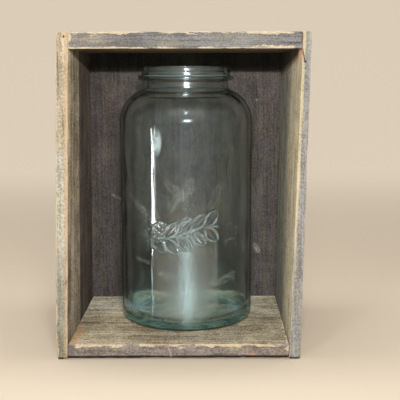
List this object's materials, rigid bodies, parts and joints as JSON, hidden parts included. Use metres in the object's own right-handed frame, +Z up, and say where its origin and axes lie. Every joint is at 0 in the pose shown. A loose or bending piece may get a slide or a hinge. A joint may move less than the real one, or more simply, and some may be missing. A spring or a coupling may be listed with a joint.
{
  "type": "boxed jar lantern",
  "caption": "Pale aqua glass preserving jar with a ringed neck, standing in an old weathered wooden box set on end with its front open.",
  "frame": {"origin": "under the middle of the box's outline, on the surface it stands on", "axes": "+Z up, -Y out of the open front, +X to the right seen from the front"},
  "size_m": [0.21, 0.1598, 0.2704],
  "materials": {
    "weathered_board": "bare, weathered grey-brown softwood with worn pale edges",
    "dark_back_board": "bare dark brown-grey softwood with pale scuffs",
    "aqua_glass": "clear pale aqua soda-lime glass, glossy, slightly wavy",
    "rusted_iron": "rusted wire nails"
  },
  "bodies": {
    "box": {"left_side_board": "weathered_board", "right_side_board": "weathered_board", "top_board": "weathered_board", "bottom_board": "weathered_board", "back_panel": "dark_back_board", "top_left_nails": "rusted_iron", "top_right_nails": "rusted_iron", "bottom_left_nails": "rusted_iron", "bottom_right_nails": "rusted_iron", "back_left_nails": "rusted_iron", "back_right_nails": "rusted_iron", "back_top_nails": "rusted_iron", "back_bottom_nails": "rusted_iron"},
    "jar": {"glass_jar": "aqua_glass"}
  },
  "joints": [
    {"name": "jar_slide_out", "type": "slide", "parent": "box", "child": "jar", "axis": [0, -1, 0], "range_m": [0, 0.2]}
  ]
}
